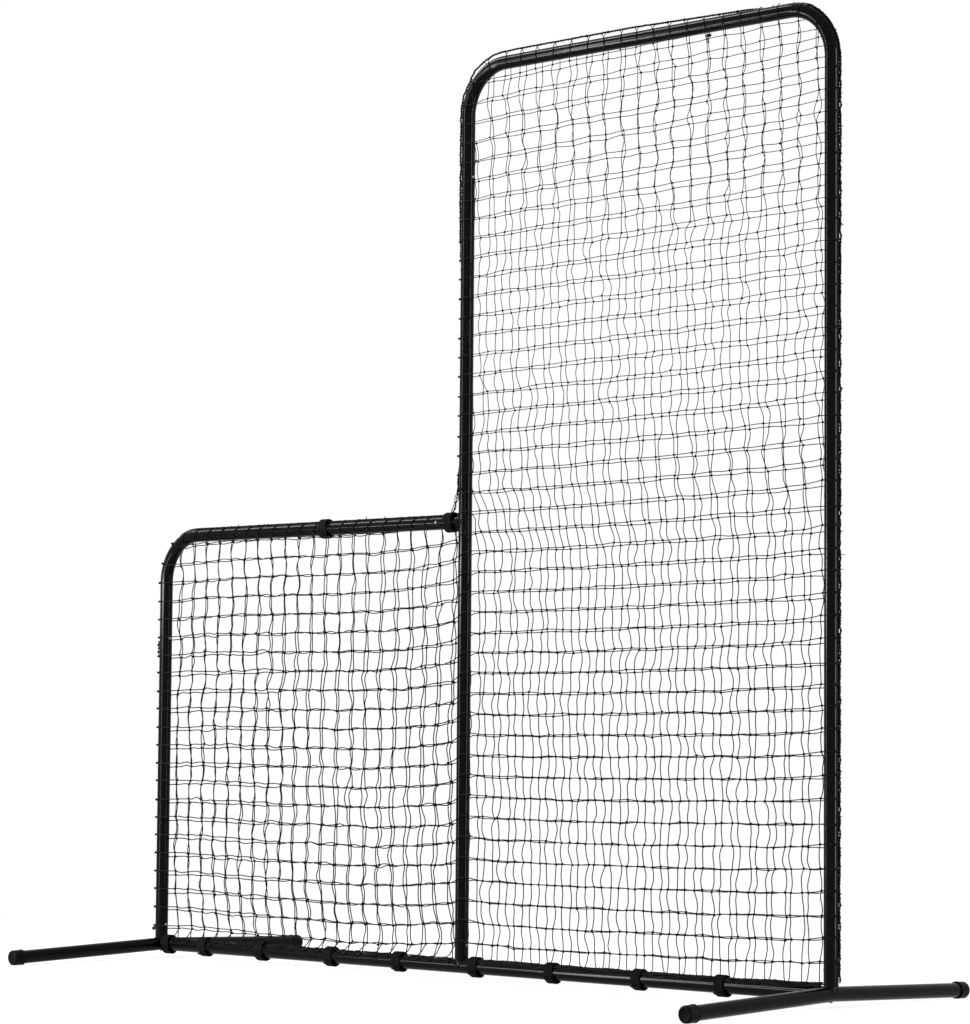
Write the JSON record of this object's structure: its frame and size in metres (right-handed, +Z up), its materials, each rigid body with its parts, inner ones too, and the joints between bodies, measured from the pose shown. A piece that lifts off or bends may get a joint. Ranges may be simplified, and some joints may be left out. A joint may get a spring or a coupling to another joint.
{
  "type": "baseball pitching screen",
  "caption": "Free-standing L-shaped practice screen: round-tube frame with sprung-button joints on cross feet, two-layer net laced along the edge and strapped to the rails.",
  "frame": {"origin": "on the floor, under the middle of the whole screen", "axes": "+X along the screen from the low end to the tall end, +Y through the screen away from the picture's side, +Z up"},
  "size_m": [2.1694, 0.9604, 2.1595],
  "materials": {
    "frame_tube": "glossy black powder coat on steel tube",
    "end_cap": "black moulded plastic",
    "snap_button": "bright zinc plate",
    "strap": "matte charcoal woven strap",
    "net": "black knotted twine"
  },
  "bodies": {
    "frame": {"bottom_rail_left": "frame_tube", "bottom_rail_right": "frame_tube", "end_cap_left_front": "end_cap", "end_cap_left_rear": "end_cap", "end_cap_right_front": "end_cap", "end_cap_right_rear": "end_cap", "inner_top_corner": "frame_tube", "left_foot": "frame_tube", "left_post": "frame_tube", "low_corner": "frame_tube", "mid_post_lower": "frame_tube", "mid_post_upper": "frame_tube", "net_edge_cord": "net", "net_front_low": "net", "net_front_tall": "net", "net_hem_left": "net", "net_hem_right": "net", "net_rear_low": "net", "net_rear_tall": "net", "outer_top_corner": "frame_tube", "right_foot": "frame_tube", "right_post_lower": "frame_tube", "right_post_upper": "frame_tube", "shoulder_rail": "frame_tube", "strap_rail_1": "strap", "strap_rail_2": "strap", "strap_rail_3": "strap", "strap_rail_4": "strap", "strap_rail_5": "strap", "strap_rail_6": "strap", "strap_rail_7": "strap", "strap_rail_8": "strap", "strap_rail_9": "strap", "strap_shoulder_1": "strap", "strap_shoulder_2": "strap", "top_rail": "frame_tube"},
    "button_left_foot_up": {"snap_button_left_foot_up": "snap_button"},
    "button_left_foot_side": {"snap_button_left_foot_side": "snap_button"},
    "button_right_foot_up": {"snap_button_right_foot_up": "snap_button"},
    "button_right_foot_side": {"snap_button_right_foot_side": "snap_button"},
    "button_mid_stub": {"snap_button_mid_stub": "snap_button"},
    "button_bottom_rail": {"snap_button_bottom_rail": "snap_button"},
    "button_left_post_top": {"snap_button_left_post_top": "snap_button"},
    "button_shoulder_left": {"snap_button_shoulder_left": "snap_button"},
    "button_shoulder_right": {"snap_button_shoulder_right": "snap_button"},
    "button_mid_post_seam": {"snap_button_mid_post_seam": "snap_button"},
    "button_mid_post_top": {"snap_button_mid_post_top": "snap_button"},
    "button_top_rail_left": {"snap_button_top_rail_left": "snap_button"},
    "button_top_rail_right": {"snap_button_top_rail_right": "snap_button"},
    "button_right_post_top": {"snap_button_right_post_top": "snap_button"},
    "button_right_post_seam": {"snap_button_right_post_seam": "snap_button"}
  },
  "joints": [
    {"name": "press_left_foot_up", "type": "slide", "parent": "frame", "child": "button_left_foot_up", "axis": [-1, 0, 0], "range_m": [0, 0.0058], "stiffness_N_per_m": 1000, "springref_m": -0.004},
    {"name": "press_left_foot_side", "type": "slide", "parent": "frame", "child": "button_left_foot_side", "axis": [0, -1, 0], "range_m": [0, 0.0058], "stiffness_N_per_m": 1000, "springref_m": -0.004},
    {"name": "press_right_foot_up", "type": "slide", "parent": "frame", "child": "button_right_foot_up", "axis": [1, 0, 0], "range_m": [0, 0.0058], "stiffness_N_per_m": 1000, "springref_m": -0.004},
    {"name": "press_right_foot_side", "type": "slide", "parent": "frame", "child": "button_right_foot_side", "axis": [0, -1, 0], "range_m": [0, 0.0058], "stiffness_N_per_m": 1000, "springref_m": -0.004},
    {"name": "press_mid_stub", "type": "slide", "parent": "frame", "child": "button_mid_stub", "axis": [-1, 0, 0], "range_m": [0, 0.0058], "stiffness_N_per_m": 1000, "springref_m": -0.004},
    {"name": "press_bottom_rail", "type": "slide", "parent": "frame", "child": "button_bottom_rail", "axis": [0, -1, 0], "range_m": [0, 0.0058], "stiffness_N_per_m": 1000, "springref_m": -0.004},
    {"name": "press_left_post_top", "type": "slide", "parent": "frame", "child": "button_left_post_top", "axis": [-1, 0, 0], "range_m": [0, 0.0058], "stiffness_N_per_m": 1000, "springref_m": -0.004},
    {"name": "press_shoulder_left", "type": "slide", "parent": "frame", "child": "button_shoulder_left", "axis": [0, -1, 0], "range_m": [0, 0.0058], "stiffness_N_per_m": 1000, "springref_m": -0.004},
    {"name": "press_shoulder_right", "type": "slide", "parent": "frame", "child": "button_shoulder_right", "axis": [0, 1, 0], "range_m": [0, 0.0058], "stiffness_N_per_m": 1000, "springref_m": -0.004},
    {"name": "press_mid_post_seam", "type": "slide", "parent": "frame", "child": "button_mid_post_seam", "axis": [0, -1, 0], "range_m": [0, 0.0058], "stiffness_N_per_m": 1000, "springref_m": -0.004},
    {"name": "press_mid_post_top", "type": "slide", "parent": "frame", "child": "button_mid_post_top", "axis": [-1, 0, 0], "range_m": [0, 0.0058], "stiffness_N_per_m": 1000, "springref_m": -0.004},
    {"name": "press_top_rail_left", "type": "slide", "parent": "frame", "child": "button_top_rail_left", "axis": [0, -1, 0], "range_m": [0, 0.0058], "stiffness_N_per_m": 1000, "springref_m": -0.004},
    {"name": "press_top_rail_right", "type": "slide", "parent": "frame", "child": "button_top_rail_right", "axis": [0, -1, 0], "range_m": [0, 0.0058], "stiffness_N_per_m": 1000, "springref_m": -0.004},
    {"name": "press_right_post_top", "type": "slide", "parent": "frame", "child": "button_right_post_top", "axis": [1, 0, 0], "range_m": [0, 0.0058], "stiffness_N_per_m": 1000, "springref_m": -0.004},
    {"name": "press_right_post_seam", "type": "slide", "parent": "frame", "child": "button_right_post_seam", "axis": [0, -1, 0], "range_m": [0, 0.0058], "stiffness_N_per_m": 1000, "springref_m": -0.004}
  ]
}
